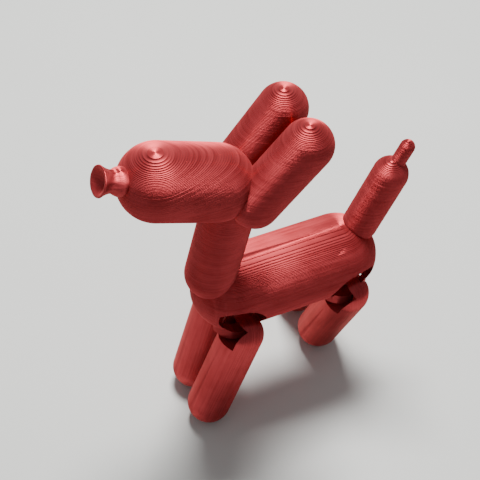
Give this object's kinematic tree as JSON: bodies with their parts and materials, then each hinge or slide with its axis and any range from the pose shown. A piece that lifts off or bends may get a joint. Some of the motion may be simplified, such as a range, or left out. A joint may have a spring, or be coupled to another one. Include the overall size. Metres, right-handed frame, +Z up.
{
  "type": "jointed balloon dog figure",
  "caption": "Balloon-dog toy in silky printed plastic whose sausage-shaped legs swing on rings under a one-piece body.",
  "frame": {"origin": "centre of the bounding box on the ground, under the torso", "axes": "+X from the nose towards the tail, +Y towards the right-hand legs, +Z up"},
  "size_m": [0.0648, 0.028, 0.075],
  "materials": {
    "silk_red": "silky pearlescent sheen with fine 0.2 mm layer lines"
  },
  "bodies": {
    "figure": {"body": "silk_red"},
    "front_left_leg": {"front_left_leg": "silk_red"},
    "front_right_leg": {"front_right_leg": "silk_red"},
    "rear_left_leg": {"rear_left_leg": "silk_red"},
    "rear_right_leg": {"rear_right_leg": "silk_red"}
  },
  "joints": [
    {"name": "front_left_hip", "type": "hinge", "parent": "figure", "child": "front_left_leg", "pos_m": [-0.00522, -0.00831, 0.02275], "axis": [-0.129, 0.9915, -0.017], "range_deg": [-28, 6]},
    {"name": "front_right_hip", "type": "hinge", "parent": "figure", "child": "front_right_leg", "pos_m": [-0.00522, 0.00314, 0.02275], "axis": [-0.1307, 0.9835, -0.1248], "range_deg": [-28, 6]},
    {"name": "rear_left_hip", "type": "hinge", "parent": "figure", "child": "rear_left_leg", "pos_m": [0.01898, -0.00751, 0.02275], "axis": [-0.1386, 0.9293, 0.3424], "range_deg": [-32, 14]},
    {"name": "rear_right_hip", "type": "hinge", "parent": "figure", "child": "rear_right_leg", "pos_m": [0.01898, 0.00304, 0.02275], "axis": [-0.1386, 0.9293, 0.3424], "range_deg": [-32, 14]}
  ]
}
